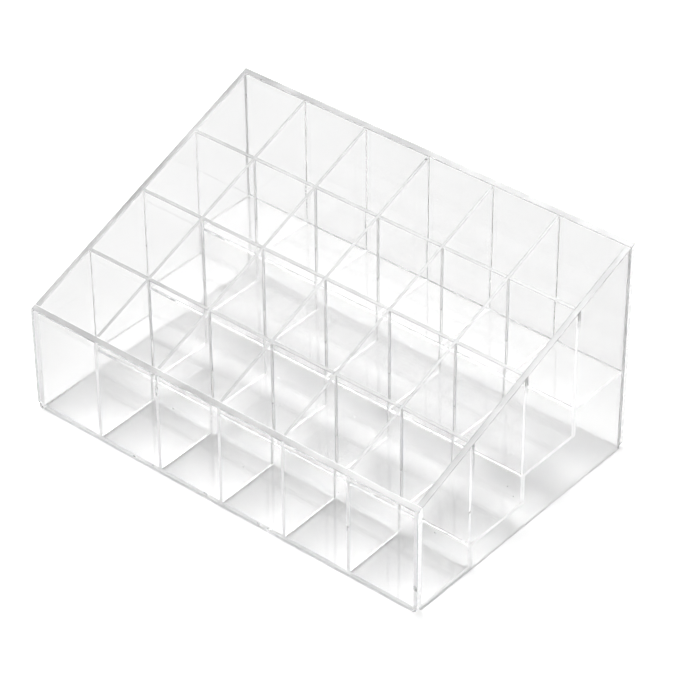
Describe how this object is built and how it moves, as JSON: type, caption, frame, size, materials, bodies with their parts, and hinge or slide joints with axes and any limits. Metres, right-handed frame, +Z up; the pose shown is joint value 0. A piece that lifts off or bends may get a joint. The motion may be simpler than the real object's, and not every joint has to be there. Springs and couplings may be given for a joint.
{
  "type": "vanity organizer",
  "caption": "Clear tiered cosmetics organizer: slanted open top over a grid of cells for lipsticks, with floors that climb towards the back.",
  "frame": {"origin": "on the table, under the middle of the box", "axes": "+X to the organizer's right, +Y to its tall back, +Z up"},
  "size_m": [0.145, 0.096, 0.0725],
  "materials": {
    "clear_panel": "clear, polished, colourless, with handling scratches",
    "clear_floor": "clear, polished, with frosted cut edges where it is cemented",
    "clear_divider": "clear, polished, thin, with cut edges that read grey"
  },
  "bodies": {
    "root": {"front_panel": "clear_panel", "back_panel": "clear_panel", "left_side_panel": "clear_panel", "right_side_panel": "clear_panel", "tier_floor_1": "clear_floor", "tier_floor_2": "clear_floor", "tier_floor_3": "clear_floor", "tier_floor_4": "clear_floor", "riser_1": "clear_floor", "riser_2": "clear_floor", "riser_3": "clear_floor", "cross_divider_1": "clear_divider", "cross_divider_2": "clear_divider", "cross_divider_3": "clear_divider", "long_divider_1": "clear_divider", "long_divider_2": "clear_divider", "long_divider_3": "clear_divider", "long_divider_4": "clear_divider", "long_divider_5": "clear_divider"}
  },
  "joints": []
}
